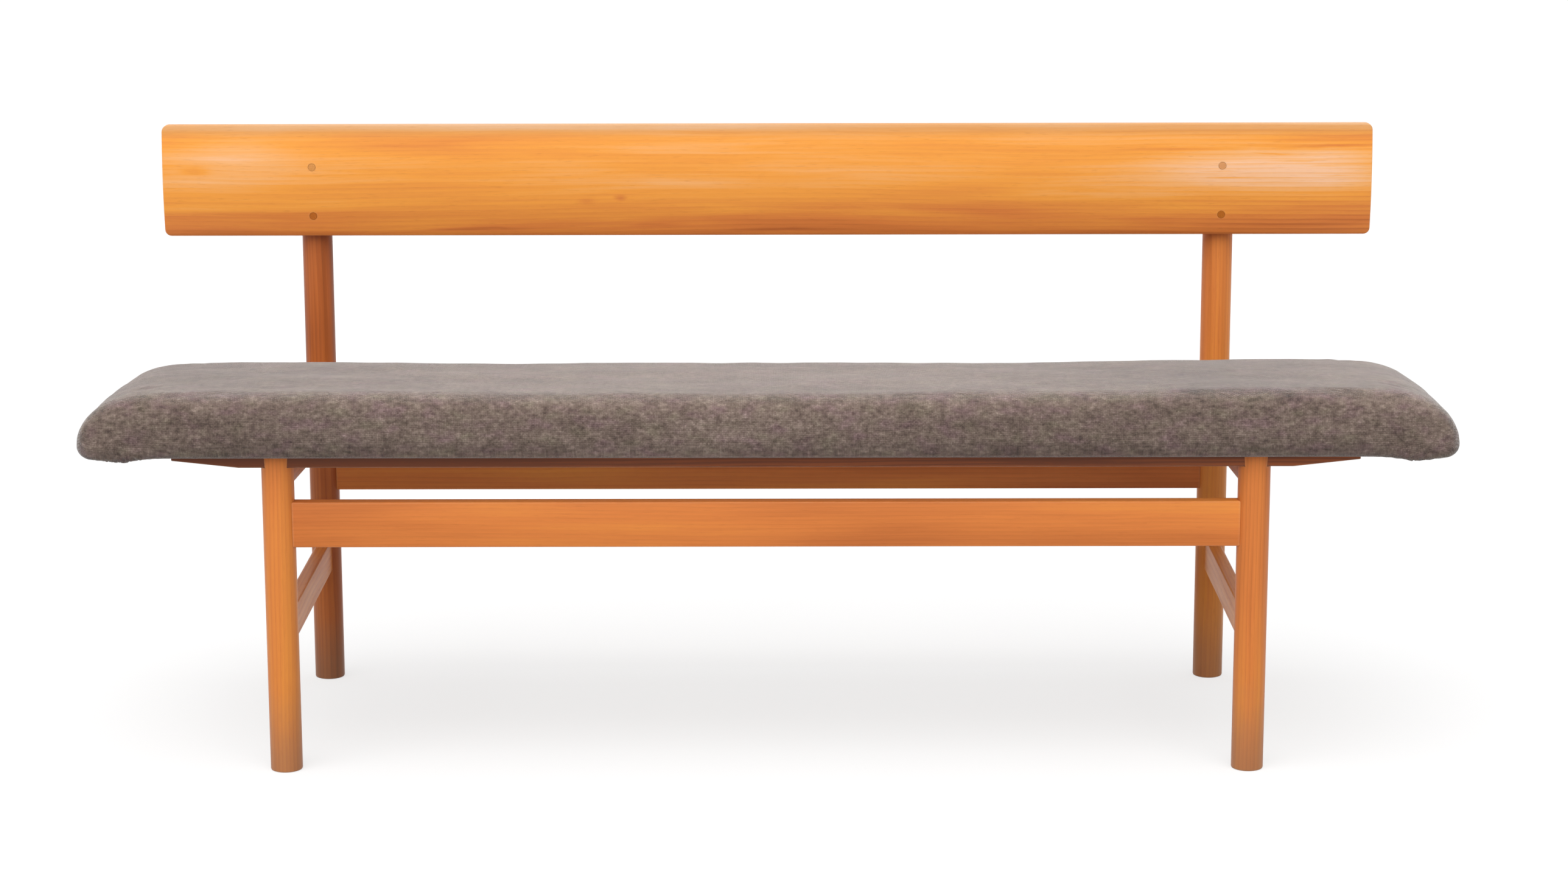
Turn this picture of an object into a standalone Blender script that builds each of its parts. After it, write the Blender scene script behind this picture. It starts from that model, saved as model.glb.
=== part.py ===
"""Long bench with round legs, a plank back on tall rear posts and an upholstered seat.

Units are metres. +Z is up, +X runs to the sitter's left and -Y is the front.
The origin is on the floor, in the middle of the bench's length and depth.
"""

import math

import bmesh
import bpy
from mathutils import Euler, Matrix, Vector

# Legs and posts
LEG_SPACING_X = 1.180
LEG_SPACING_Y = 0.422
LEG_DIAMETER = 0.039
LEG_SIDES = 40
FOOT_CHAMFER = 0.0020
POST_HEIGHT = 0.722

# Stretchers: two long ones high up, and a low one at each side
LONG_STRETCHER_HEIGHT = 0.056
LONG_STRETCHER_THICKNESS = 0.020
FRONT_STRETCHER_BOTTOM = 0.2815
REAR_STRETCHER_BOTTOM = 0.2585
SIDE_STRETCHER_HEIGHT = 0.0410
SIDE_STRETCHER_THICKNESS = 0.018
SIDE_STRETCHER_BOTTOM = 0.1495
RAIL_EDGE_ROUNDING = 0.0020

# Blind tenons, which leave this much wood at the leg's far side
TENON_BLIND_WALL = 0.010
TENON_THICKNESS = 0.009
TENON_SHOULDER = 0.007

# Seat frame, in a plane that tips down to the rear, measured at the front legs' axes
SEAT_TILT = math.radians(3.5)
SEAT_BOARD_UNDERSIDE = 0.3960
SIDE_RAIL_HEIGHT = 0.0455
SIDE_RAIL_THICKNESS = 0.020
SIDE_RAIL_TENON_HEIGHT = 0.018
SIDE_RAIL_TENON_RISE = 0.005
SEAT_RAIL_LENGTH = 1.432
SEAT_RAIL_WIDTH = 0.026
SEAT_RAIL_HEIGHT = 0.021
SEAT_RAIL_HOUSING = 0.0055
SEAT_RAIL_TAPER_LENGTH = 0.081
SEAT_RAIL_TAPER_RISE = 0.0086
SEAT_BOARD_THICKNESS = 0.018
SEAT_BOARD_CORNER = 0.015
SEAT_BOARD_INSET = 0.024

# Cushion: how it reaches past the legs' and rails' axes, its height and its turned edges
CUSHION_LENGTH = 1.657
CUSHION_FRONT_OVERHANG = 0.049
CUSHION_REAR_OVERHANG = 0.049
CUSHION_POST_GAP = 0.0185
CUSHION_FRONT_HEIGHT = 0.0765
CUSHION_REAR_HEIGHT = 0.0710
CUSHION_CROWN_HEIGHT = 0.003
CUSHION_RIM_HEIGHT = 0.020
CUSHION_CORNER = 0.026
CUSHION_END_ROUNDING = 0.105
CUSHION_FRONT_ROUNDING = 0.034
CUSHION_REAR_ROUNDING = 0.070
CUSHION_TUCK = 0.018
# The share of the end's rounding at which its first section lies, to leave it some height
CUSHION_END_START = 0.003
END_FULLNESS = 2.5
FRONT_FULLNESS = 3.4
REAR_FULLNESS = 2.0
TUCK_FULLNESS = 2.0
COVER_THICKNESS = 0.0020
COVER_HEM_INSET = 0.033

# Back board: flat behind, gently rounded in front
BACK_LENGTH = 1.568
BACK_HEIGHT = 0.1445
BACK_ABOVE_POST = 0.025
BACK_THICKNESS = 0.022
BACK_BULGE_DEPTH = 0.007
BACK_CORNER = 0.008
BACK_EDGE_ROUNDING = 0.0025
BACK_FACE_STEPS = 14
BACK_HOUSING = 0.004

# Screws and plugs
SCREW_SHANK_DIAMETER = 0.0045
SCREW_HEAD_DIAMETER = 0.0086
SCREW_HEAD_HEIGHT = 0.0028
SCREW_HEAD_RIM = 0.0006
SCREW_TIP_LENGTH = 0.006
SCREW_SLOT_WIDTH = 0.0011
SCREW_SLOT_DEPTH = 0.0011
SCREW_SIDES = 16
PLUG_DIAMETER = 0.0095
PLUG_SIDES = 24
BACK_SCREW_LENGTH = 0.038
BACK_SCREW_HEAD_COVER = 0.010
PLUG_FROM_TOP = 0.054
PLUG_FROM_BOTTOM = 0.0265
SEAT_SCREW_LENGTH = 0.046
SEAT_SCREW_COUNTERBORE = 0.011
SEAT_SCREW_FROM_FRONT_RAIL = 0.085
SEAT_SCREW_FROM_REAR_RAIL = 0.060
RAIL_SCREW_LENGTH = 0.028
RAIL_SCREW_PITCH = 0.300
RAIL_SCREWS = 4

# Clearance between touching pieces, and between the padding and its cover
FIT = 0.0003
CLOTH_GAP = 0.0005
# How far a cutter runs past the face that it cuts
PAST = 0.02

# Places worked out from the sizes above
LEG_RADIUS = LEG_DIAMETER / 2
CUSHION_DEPTH = CUSHION_FRONT_OVERHANG + LEG_SPACING_Y - LEG_RADIUS - CUSHION_POST_GAP
SEAT_RAIL_SPACING = CUSHION_DEPTH - CUSHION_FRONT_OVERHANG - CUSHION_REAR_OVERHANG
CUSHION_BASE = -(COVER_THICKNESS + FIT)
TILTED_OVERHANG = CUSHION_FRONT_OVERHANG * math.cos(SEAT_TILT)
FRONT_REACH = TILTED_OVERHANG - (CUSHION_BASE + CUSHION_RIM_HEIGHT) * math.sin(SEAT_TILT)
OVERALL_DEPTH = FRONT_REACH + LEG_SPACING_Y + LEG_RADIUS
FRONT_LEG_Y = FRONT_REACH - OVERALL_DEPTH / 2
REAR_LEG_Y = FRONT_LEG_Y + LEG_SPACING_Y
SIDE_X = LEG_SPACING_X / 2
SIDES = (("left", -1), ("right", 1))
TENON_REACH = LEG_RADIUS - TENON_BLIND_WALL
SEAT_RAIL_DROP = SEAT_RAIL_HEIGHT - SEAT_RAIL_HOUSING
LEG_TOP_DROP = COVER_THICKNESS + 2 * FIT
BACK_REAR_Y = REAR_LEG_Y - LEG_RADIUS + BACK_HOUSING
BACK_BOTTOM = POST_HEIGHT + BACK_ABOVE_POST - BACK_HEIGHT


def clear_scene():
    """Remove every object that the scene starts with."""
    for obj in list(bpy.data.objects):
        bpy.data.objects.remove(obj, do_unlink=True)


def new_collection(name):
    collection = bpy.data.collections.new(name)
    bpy.context.scene.collection.children.link(collection)
    return collection


def make_material(name, color, roughness, metallic=0.0):
    material = bpy.data.materials.new(name)
    material.use_nodes = True
    shader = material.node_tree.nodes["Principled BSDF"]
    shader.inputs["Base Color"].default_value = (*color, 1.0)
    shader.inputs["Roughness"].default_value = roughness
    shader.inputs["Metallic"].default_value = metallic
    return material


def add_object(name, mesh, location=(0, 0, 0), rotation=(0, 0, 0), parent=None, material=None):
    """Place a mesh as a part, or as a cutter when it has no material."""
    obj = bpy.data.objects.new(name, mesh)
    obj.location = location
    obj.rotation_euler = rotation
    obj.parent = parent
    if material is None:
        CUTTERS.objects.link(obj)
        obj.hide_render = True
        obj.display_type = "WIRE"
    else:
        PARTS.objects.link(obj)
        mesh.materials.append(material)
    return obj


def smooth_round_faces(mesh, sharp_angle=35):
    mesh.shade_smooth()
    mesh.set_sharp_from_angle(angle=math.radians(sharp_angle))


def box_mesh(name, size):
    """A box of this size, centred on its own origin."""
    mesh = bpy.data.meshes.new(name)
    bm = bmesh.new()
    bmesh.ops.create_cube(bm, size=1.0, matrix=Matrix.Diagonal((*size, 1.0)))
    bm.to_mesh(mesh)
    bm.free()
    return mesh


def cylinder_mesh(name, radius, depth, sides):
    """An upright cylinder, centred on its own origin."""
    mesh = bpy.data.meshes.new(name)
    bm = bmesh.new()
    bmesh.ops.create_cone(
        bm, cap_ends=True, segments=sides, radius1=radius, radius2=radius, depth=depth
    )
    bm.to_mesh(mesh)
    bm.free()
    smooth_round_faces(mesh)
    return mesh


def outline_mesh(name, points, thickness):
    """A flat outline in X and Y, thickened evenly to both sides along Z."""
    curve = bpy.data.curves.new(name, "CURVE")
    curve.dimensions = "2D"
    curve.fill_mode = "BOTH"
    curve.extrude = thickness / 2
    spline = curve.splines.new("POLY")
    spline.points.add(len(points) - 1)
    for point, (x, y) in zip(spline.points, points):
        point.co = (x, y, 0, 1)
    spline.use_cyclic_u = True
    guide = bpy.data.objects.new(name, curve)
    bpy.context.scene.collection.objects.link(guide)
    evaluated = guide.evaluated_get(bpy.context.evaluated_depsgraph_get())
    mesh = bpy.data.meshes.new_from_object(evaluated)
    bpy.data.objects.remove(guide, do_unlink=True)
    bm = bmesh.new()
    bm.from_mesh(mesh)
    bmesh.ops.remove_doubles(bm, verts=bm.verts, dist=1e-6)
    bmesh.ops.dissolve_limit(bm, angle_limit=math.radians(0.1), verts=bm.verts, edges=bm.edges)
    bmesh.ops.recalc_face_normals(bm, faces=bm.faces)
    bm.to_mesh(mesh)
    bm.free()
    return mesh


def add_boolean(obj, other, operation="DIFFERENCE"):
    modifier = obj.modifiers.new(operation.title(), "BOOLEAN")
    modifier.operation = operation
    modifier.object = other


def add_bevel(obj, width, segments=2, angle=40):
    modifier = obj.modifiers.new("Bevel", "BEVEL")
    modifier.width = width
    modifier.segments = segments
    modifier.limit_method = "ANGLE"
    modifier.angle_limit = math.radians(angle)


def rounded_rectangle(width, height, radius, steps=5):
    """Corner arcs of a rectangle that is centred on the origin, anticlockwise."""
    points = []
    for quarter, (sx, sy) in enumerate(((1, 1), (-1, 1), (-1, -1), (1, -1))):
        cx = sx * (width / 2 - radius)
        cy = sy * (height / 2 - radius)
        for step in range(steps + 1):
            angle = (quarter + step / steps) * math.pi / 2
            points.append((cx + radius * math.cos(angle), cy + radius * math.sin(angle)))
    return points


def make_leg(name, x, y, height):
    """A round leg that stands on the floor, eased at both ends."""
    mesh = cylinder_mesh(name, LEG_RADIUS, height, LEG_SIDES)
    leg = add_object(name, mesh, (x, y, height / 2), material=WOOD)
    add_bevel(leg, FOOT_CHAMFER)
    return leg


def leg_cutter(name, x, y):
    """The space that a leg takes up, with its clearance, for coping what meets it."""
    height = POST_HEIGHT + 2 * PAST
    mesh = cylinder_mesh(name, LEG_RADIUS + FIT, height, LEG_SIDES)
    return add_object(name, mesh, (x, y, height / 2 - PAST))


def make_rail(name, size, tenon_size, centre, legs, rotation=(0, 0, 0), parent=None,
              tenon_offset=(0, 0, 0)):
    """A rail between two legs, coped to them, with a tenon at each end.

    legs holds (leg, coping cutter) pairs, and each leg gets the matching mortise.
    """
    rail = add_object(name, box_mesh(name, size), centre, rotation, parent, WOOD)
    add_bevel(rail, RAIL_EDGE_ROUNDING)
    for _, coping in legs:
        add_boolean(rail, coping)
    tenon_centre = Vector(centre) + Vector(tenon_offset)
    tenon = add_object(name + "_tenon", box_mesh(name + "_tenon", tenon_size), tenon_centre,
                       rotation, parent)
    add_boolean(rail, tenon, "UNION")
    mortise_size = [extent + 2 * FIT for extent in tenon_size]
    mortise = add_object(name + "_mortise", box_mesh(name + "_mortise", mortise_size),
                         tenon_centre, rotation, parent)
    for leg, _ in legs:
        add_boolean(leg, mortise)
    return rail


def make_long_stretcher(name, y, bottom, legs):
    size = (LEG_SPACING_X, LONG_STRETCHER_THICKNESS, LONG_STRETCHER_HEIGHT)
    tenon_size = (
        LEG_SPACING_X + 2 * TENON_REACH,
        TENON_THICKNESS,
        LONG_STRETCHER_HEIGHT - 2 * TENON_SHOULDER,
    )
    return make_rail(name, size, tenon_size, (0, y, bottom + LONG_STRETCHER_HEIGHT / 2), legs)


def make_side_stretcher(name, x, legs):
    size = (SIDE_STRETCHER_THICKNESS, LEG_SPACING_Y, SIDE_STRETCHER_HEIGHT)
    tenon_size = (
        TENON_THICKNESS,
        LEG_SPACING_Y + 2 * TENON_REACH,
        SIDE_STRETCHER_HEIGHT - 2 * TENON_SHOULDER,
    )
    centre = (x, (FRONT_LEG_Y + REAR_LEG_Y) / 2, SIDE_STRETCHER_BOTTOM + SIDE_STRETCHER_HEIGHT / 2)
    return make_rail(name, size, tenon_size, centre, legs)


def make_side_rail(name, x, legs, seat):
    """The upper rail of one side, which lies in the seat's tilted plane."""
    length = LEG_SPACING_Y / math.cos(SEAT_TILT)
    size = (SIDE_RAIL_THICKNESS, length, SIDE_RAIL_HEIGHT)
    tenon_size = (
        TENON_THICKNESS,
        length + 2 * TENON_REACH,
        SIDE_RAIL_TENON_HEIGHT,
    )
    centre = (x, length / 2, -FIT - SIDE_RAIL_HEIGHT / 2)
    tenon_drop = -SIDE_RAIL_HEIGHT / 2 + SIDE_RAIL_TENON_RISE + SIDE_RAIL_TENON_HEIGHT / 2
    rail = make_rail(name, size, tenon_size, centre, legs, parent=seat,
                     tenon_offset=(0, 0, tenon_drop))
    relief_start = CUSHION_DEPTH - CUSHION_FRONT_OVERHANG - COVER_HEM_INSET - FIT
    relief_length = length - relief_start
    relief_size = (SIDE_RAIL_THICKNESS + PAST, relief_length, 2 * LEG_TOP_DROP)
    relief = add_object(name + "_hem_relief", box_mesh(name + "_hem_relief", relief_size),
                        (x, relief_start + relief_length / 2, 0), parent=seat)
    add_boolean(rail, relief)
    return rail


def make_seat_rail(name, y, seat):
    """A long rail under the seat board, with its underside tapered up at both ends."""
    half = SEAT_RAIL_LENGTH / 2
    top = SEAT_RAIL_HOUSING - FIT
    bottom = -SEAT_RAIL_DROP
    taper_start = half - SEAT_RAIL_TAPER_LENGTH
    taper_end = bottom + SEAT_RAIL_TAPER_RISE
    outline = [
        (half, top), (-half, top), (-half, taper_end), (-taper_start, bottom),
        (taper_start, bottom), (half, taper_end),
    ]
    mesh = outline_mesh(name, outline, SEAT_RAIL_WIDTH)
    rail = add_object(name, mesh, (0, y, 0), (math.pi / 2, 0, 0), seat, WOOD)
    add_bevel(rail, RAIL_EDGE_ROUNDING / 2)
    return rail


def seat_rail_cutter(name, y, seat):
    """The straight channel that a seat rail lies in, with its clearance."""
    size = (
        SEAT_RAIL_LENGTH + 2 * FIT,
        SEAT_RAIL_WIDTH + 2 * FIT,
        SEAT_RAIL_HEIGHT + FIT,
    )
    z = SEAT_RAIL_HOUSING - size[2] / 2
    return add_object(name, box_mesh(name, size), (0, y, z), parent=seat)


def cushion_edge(distance, rounding, fullness):
    """How far the padding has risen at this distance in from its edge, from 0 to 1."""
    share = min(max(distance / rounding, 0.0), 1.0)
    return (1 - (1 - share) ** fullness) ** (1 / fullness)


def turned_steps(rounding, count):
    """Distances in from an edge, closest together at the edge itself."""
    return [rounding * (1 - math.cos(math.pi / 2 * i / count)) for i in range(count)]


def spread(start, end, count):
    """Evenly spaced distances from start up to and with end."""
    return [start + (end - start) * i / count for i in range(count + 1)]


def cushion_mesh(name, inset, end_steps=7, middle_steps=6, edge_steps=5, tuck_steps=3):
    """The cushion's closed form, drawn in evenly by inset, in the seat's plane.

    It is a loft of sections across the seat. The height at a point comes from the
    padding's profile times how far each edge has turned over there.
    """
    half_length = CUSHION_LENGTH / 2 - inset
    depth = CUSHION_DEPTH - 2 * inset
    front = inset - CUSHION_FRONT_OVERHANG
    base = CUSHION_BASE + inset
    rim = CUSHION_RIM_HEIGHT - inset
    corner = CUSHION_CORNER - inset
    end_rounding = CUSHION_END_ROUNDING - inset
    front_rounding = CUSHION_FRONT_ROUNDING - inset
    rear_rounding = CUSHION_REAR_ROUNDING - inset
    tuck = CUSHION_TUCK - inset

    def padding(share):
        slope = CUSHION_FRONT_HEIGHT + (CUSHION_REAR_HEIGHT - CUSHION_FRONT_HEIGHT) * share
        return slope + CUSHION_CROWN_HEIGHT * math.sin(math.pi * share) - 2 * inset

    def section(end_distance):
        reach = min(end_distance, corner)
        pulled = corner - math.sqrt(corner ** 2 - (corner - reach) ** 2)
        width = depth - 2 * pulled
        end_rise = cushion_edge(end_distance, end_rounding, END_FULLNESS)
        end_drop = cushion_edge(end_distance, tuck, TUCK_FULLNESS)
        across = turned_steps(front_rounding, edge_steps)
        across += spread(front_rounding, depth - rear_rounding, middle_steps)
        across += [depth - step for step in reversed(turned_steps(rear_rounding, edge_steps))]
        ring = []
        for share in [step / depth for step in across]:
            step = share * width
            rise = end_rise
            rise *= cushion_edge(step, front_rounding, FRONT_FULLNESS)
            rise *= cushion_edge(width - step, rear_rounding, REAR_FULLNESS)
            height = rim + (padding(share) - rim) * rise
            ring.append((front + pulled + step, base + height))
        under = turned_steps(tuck, tuck_steps)
        under += spread(tuck, width - tuck, 1)
        under += [width - step for step in reversed(turned_steps(tuck, tuck_steps))]
        for step in reversed(under[1:-1]):
            drop = end_drop
            drop *= cushion_edge(step, tuck, TUCK_FULLNESS)
            drop *= cushion_edge(width - step, tuck, TUCK_FULLNESS)
            ring.append((front + pulled + step, base + rim * (1 - drop)))
        return ring

    from_end = turned_steps(end_rounding, end_steps)
    from_end[0] = end_rounding * CUSHION_END_START
    from_end += spread(end_rounding, half_length, middle_steps // 2)
    stations = [(step - half_length, step) for step in from_end]
    stations += [(half_length - step, step) for step in reversed(from_end[:-1])]

    mesh = bpy.data.meshes.new(name)
    bm = bmesh.new()
    rings = []
    for x, end_distance in stations:
        rings.append([bm.verts.new((x, y, z)) for y, z in section(end_distance)])
    for ring, following in zip(rings, rings[1:]):
        for i in range(len(ring)):
            j = (i + 1) % len(ring)
            bm.faces.new((ring[i], ring[j], following[j], following[i]))
    bm.faces.new(rings[0])
    bm.faces.new(reversed(rings[-1]))
    bmesh.ops.recalc_face_normals(bm, faces=bm.faces)
    bm.to_mesh(mesh)
    bm.free()
    smooth_round_faces(mesh, sharp_angle=50)
    return mesh


def seat_plate_mesh(name, inset, thickness):
    """A plate with round corners that follows the cushion's outline at this inset."""
    width = CUSHION_LENGTH - 2 * inset
    depth = CUSHION_DEPTH - 2 * inset
    return outline_mesh(name, rounded_rectangle(width, depth, SEAT_BOARD_CORNER), thickness)


def make_upholstery(seat, rail_cutters):
    """The board, the padding that wraps over its edge and the cover with its hem."""
    centre_y = CUSHION_DEPTH / 2 - CUSHION_FRONT_OVERHANG
    board_z = SEAT_BOARD_THICKNESS / 2
    board = add_object(
        "seat_board",
        seat_plate_mesh("seat_board", SEAT_BOARD_INSET, SEAT_BOARD_THICKNESS),
        (0, centre_y, board_z), parent=seat, material=PLYWOOD,
    )
    for cutter in rail_cutters:
        add_boolean(board, cutter)

    padding_inset = COVER_THICKNESS + CLOTH_GAP
    foam = add_object("seat_foam", cushion_mesh("seat_foam", padding_inset), parent=seat,
                      material=FOAM)
    hollow_height = SEAT_BOARD_THICKNESS + FIT + PAST
    hollow = add_object(
        "board_hollow", seat_plate_mesh("board_hollow", SEAT_BOARD_INSET - FIT, hollow_height),
        (0, centre_y, SEAT_BOARD_THICKNESS + FIT - hollow_height / 2), parent=seat,
    )
    add_boolean(foam, hollow)

    cover = add_object("seat_cover", cushion_mesh("seat_cover", 0.0), parent=seat, material=FABRIC)
    inside = add_object("cover_inside", cushion_mesh("cover_inside", COVER_THICKNESS), parent=seat)
    opening = add_object(
        "cover_opening", seat_plate_mesh("cover_opening", COVER_HEM_INSET, PAST),
        (0, centre_y, 0), parent=seat,
    )
    add_boolean(cover, inside)
    add_boolean(cover, opening)
    return board


def back_section():
    """The back board's section: x is how far it stands forward, y is its height."""
    half = BACK_HEIGHT / 2
    radius = (half ** 2 + BACK_BULGE_DEPTH ** 2) / (2 * BACK_BULGE_DEPTH)
    half_angle = math.asin(half / radius)
    points = []
    for i in range(BACK_FACE_STEPS + 1):
        angle = half_angle * (2 * i / BACK_FACE_STEPS - 1)
        forward = BACK_THICKNESS - radius * (1 - math.cos(angle))
        points.append((forward, radius * math.sin(angle)))
    points += [(0, half), (0, -half)]
    return points


def make_back_blank(name, material=None):
    """The back board before drilling: its section run along the bench, round at its corners."""
    mesh = outline_mesh(name, back_section(), BACK_LENGTH)
    turn = Matrix(((0, 0, 1), (-1, 0, 0), (0, 1, 0))).to_4x4()
    mesh.transform(turn)
    location = (0, BACK_REAR_Y - FIT, BACK_BOTTOM + BACK_HEIGHT / 2)
    board = add_object(name, mesh, location, material=material)
    bm = bmesh.new()
    bm.from_mesh(mesh)
    bmesh.ops.recalc_face_normals(bm, faces=bm.faces)
    bm.to_mesh(mesh)
    bm.free()
    front_view = add_object(
        name + "_outline",
        outline_mesh(name + "_outline",
                     rounded_rectangle(BACK_LENGTH, BACK_HEIGHT, BACK_CORNER), 4 * PAST),
        location, (math.pi / 2, 0, 0),
    )
    add_boolean(board, front_view, "INTERSECT")
    add_bevel(board, BACK_EDGE_ROUNDING)
    return board


def screw_profile(length, grow=0.0, open_head=0.0):
    """Radius and height down a countersunk screw whose head's face is at height 0."""
    head = SCREW_HEAD_DIAMETER / 2 + grow
    shank = SCREW_SHANK_DIAMETER / 2 + grow
    return [
        (0, open_head), (head, open_head), (head, -SCREW_HEAD_RIM),
        (shank, -SCREW_HEAD_HEIGHT), (shank, SCREW_TIP_LENGTH - length), (0, -length - grow),
    ]


def turned_mesh(name, profile, sides):
    """A profile turned about Z, closed on the axis at both ends."""
    mesh = bpy.data.meshes.new(name)
    bm = bmesh.new()
    rings = []
    for radius, height in profile:
        if radius == 0:
            rings.append([bm.verts.new((0, 0, height))])
            continue
        ring = []
        for i in range(sides):
            angle = 2 * math.pi * i / sides
            ring.append(bm.verts.new((radius * math.cos(angle), radius * math.sin(angle), height)))
        rings.append(ring)
    for upper, lower in zip(rings, rings[1:]):
        for i in range(sides):
            j = (i + 1) % sides
            corners = [upper[i % len(upper)], lower[i % len(lower)],
                       lower[j % len(lower)], upper[j % len(upper)]]
            bm.faces.new(list(dict.fromkeys(corners)))
    bmesh.ops.recalc_face_normals(bm, faces=bm.faces)
    bm.to_mesh(mesh)
    bm.free()
    smooth_round_faces(mesh)
    return mesh


def repeated_mesh(name, mesh, places, rotation):
    """Separate copies of a mesh, turned alike and put at several places, as one mesh."""
    turn = Euler(rotation).to_matrix().to_4x4()
    bm = bmesh.new()
    for place in places:
        copy = mesh.copy()
        copy.transform(Matrix.Translation(place) @ turn)
        bm.from_mesh(copy)
        bpy.data.meshes.remove(copy)
    joined = bpy.data.meshes.new(name)
    bm.to_mesh(joined)
    bm.free()
    return joined


def make_screws(group, length, places, rotation, pieces, open_head, parent=None):
    """Slotted countersunk screws at named places, with their holes cut in the pieces.

    One cutter holds all the holes, so that they are cut at once.
    """
    mesh = turned_mesh(group, screw_profile(length), SCREW_SIDES)
    slot_size = (SCREW_HEAD_DIAMETER * 2, SCREW_SLOT_WIDTH, 2 * SCREW_SLOT_DEPTH)
    for name, place in places.items():
        screw = add_object(name, mesh.copy(), place, rotation, parent, STEEL)
        slot = add_object(name + "_slot", box_mesh(name + "_slot", slot_size), place, rotation,
                          parent)
        add_boolean(screw, slot)
    hole = turned_mesh(group + "_hole", screw_profile(length, FIT, open_head), SCREW_SIDES)
    holes = add_object(group + "_holes",
                       repeated_mesh(group + "_holes", hole, places.values(), rotation),
                       parent=parent)
    for piece in pieces:
        add_boolean(piece, holes)


def make_back_fixings(board, blank, posts):
    """Two screws through the back board into each post, each under a wooden plug."""
    heights = {
        "upper": BACK_BOTTOM + BACK_HEIGHT - PLUG_FROM_TOP,
        "lower": BACK_BOTTOM + PLUG_FROM_BOTTOM,
    }
    facing_front = (math.pi / 2, 0, 0)
    head_y = BACK_REAR_Y - BACK_SCREW_HEAD_COVER
    places = {}
    for side, sign in SIDES:
        for level, z in heights.items():
            places[f"{level}_{side}"] = (sign * SIDE_X, head_y, z)
    make_screws("back_screw", BACK_SCREW_LENGTH,
                {f"back_screw_{key}": place for key, place in places.items()},
                facing_front, [board, *posts.values()], FIT)

    plug_length = BACK_THICKNESS - BACK_SCREW_HEAD_COVER + PAST
    for key, (x, y, z) in places.items():
        name = f"back_plug_{key}"
        plug = add_object(name, cylinder_mesh(name, PLUG_DIAMETER / 2, plug_length, PLUG_SIDES),
                          (x, y - FIT - plug_length / 2, z), facing_front, material=PLUG_WOOD)
        add_boolean(plug, blank, "INTERSECT")
    bore = cylinder_mesh("plug_bore", PLUG_DIAMETER / 2 + FIT, plug_length + FIT, PLUG_SIDES)
    bore_places = [(x, y - plug_length / 2, z) for x, y, z in places.values()]
    bores = add_object("plug_bores",
                       repeated_mesh("plug_bores", bore, bore_places, facing_front))
    add_boolean(board, bores)


def make_seat_fixings(seat, board, side_rails, seat_rails):
    """Screws from below: through each side rail, and through each seat rail, into the board."""
    heads_down = (math.pi, 0, 0)
    side_head_z = SEAT_SCREW_COUNTERBORE - FIT - SIDE_RAIL_HEIGHT
    side_screws_y = (SEAT_SCREW_FROM_FRONT_RAIL, SEAT_RAIL_SPACING - SEAT_SCREW_FROM_REAR_RAIL)
    for side, sign in SIDES:
        places = {}
        for number, y in enumerate(side_screws_y, start=1):
            places[f"seat_screw_{side}_{number}"] = (sign * SIDE_X, y, side_head_z)
        make_screws(f"seat_screw_{side}", SEAT_SCREW_LENGTH, places, heads_down,
                    [side_rails[side], board], SEAT_SCREW_COUNTERBORE + FIT, seat)
    for place, (rail, y) in seat_rails.items():
        places = {}
        for number in range(1, RAIL_SCREWS + 1):
            x = (number - (RAIL_SCREWS + 1) / 2) * RAIL_SCREW_PITCH
            places[f"{place}_rail_screw_{number}"] = (x, y, FIT - SEAT_RAIL_DROP)
        make_screws(f"{place}_rail_screw", RAIL_SCREW_LENGTH, places, heads_down,
                    [rail, board], PAST, seat)


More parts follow.
